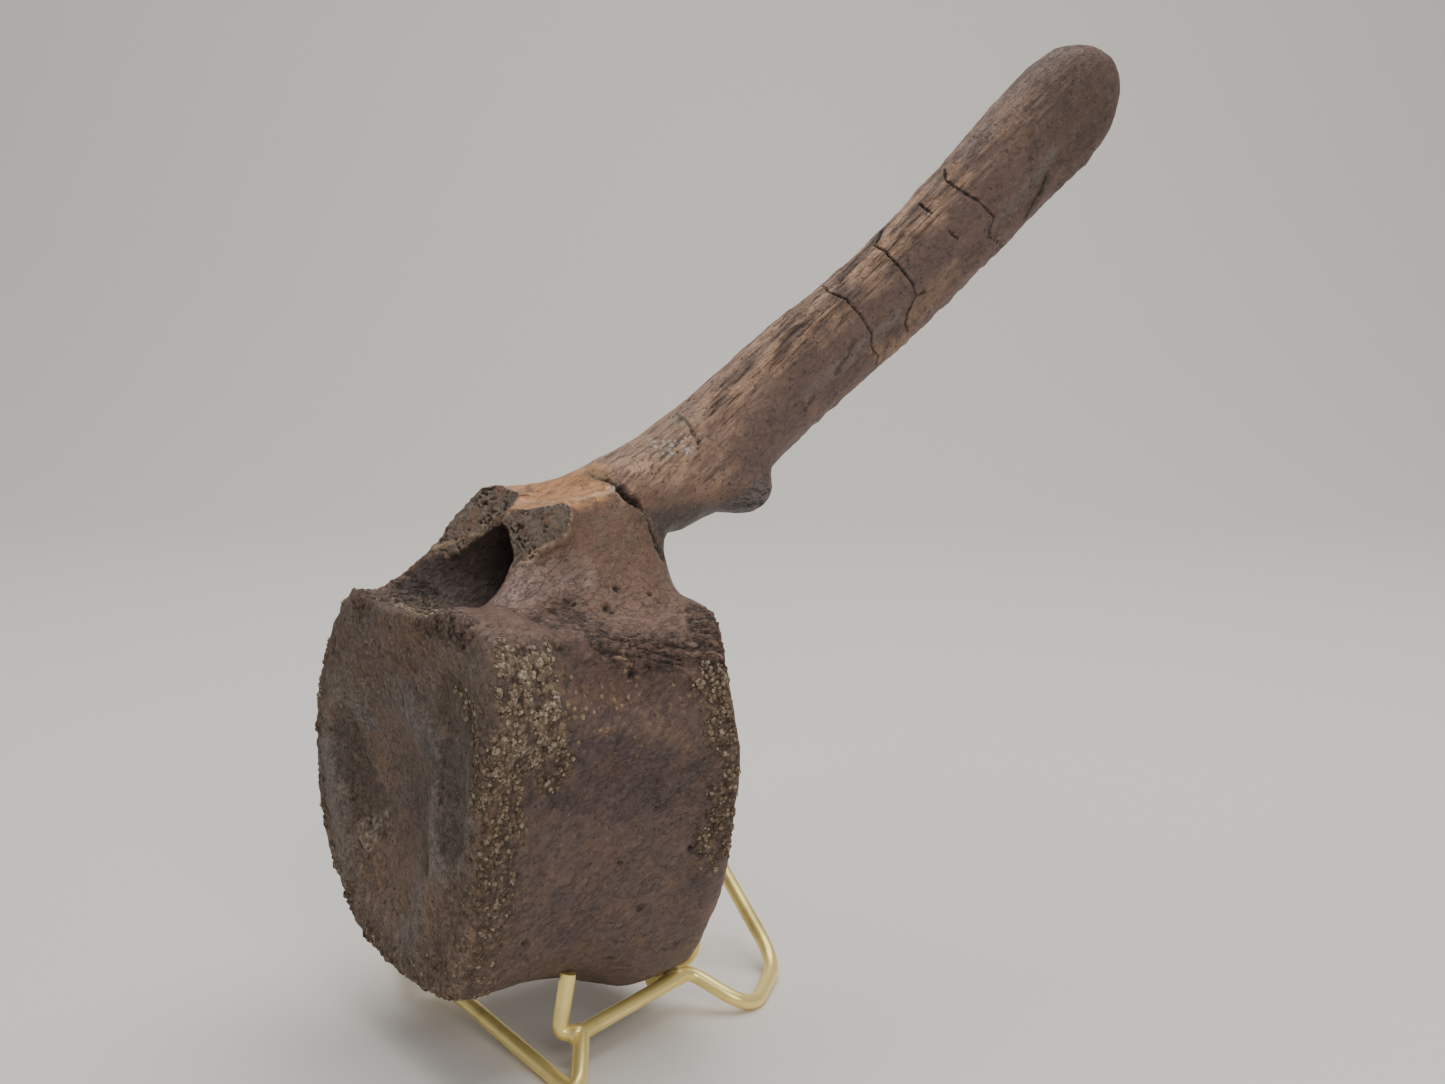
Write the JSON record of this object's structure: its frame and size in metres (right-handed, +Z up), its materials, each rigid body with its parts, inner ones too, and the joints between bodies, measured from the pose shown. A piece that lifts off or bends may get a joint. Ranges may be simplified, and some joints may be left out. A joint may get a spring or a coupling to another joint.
{
  "type": "fossil dinosaur vertebra",
  "caption": "Fossil tail vertebra of a duck-billed dinosaur with a long back-swept spine, resting on a bent brass wire stand.",
  "frame": {"origin": "centre of the whole part's bounding box at floor height, where the feet of the stand rest", "axes": "+Z up; the vertebra's front faces -X, its neural spine leans back to +X, and its left side is at -Y"},
  "size_m": [0.2716, 0.1424, 0.2874],
  "materials": {
    "fossil_bone": "brown permineralised bone, thinly varnished",
    "polished_brass": "polished round wire"
  },
  "bodies": {
    "root": {"vertebra": "fossil_bone", "base_wire": "polished_brass", "front_arm": "polished_brass", "rear_arm": "polished_brass", "right_arm": "polished_brass"}
  },
  "joints": []
}
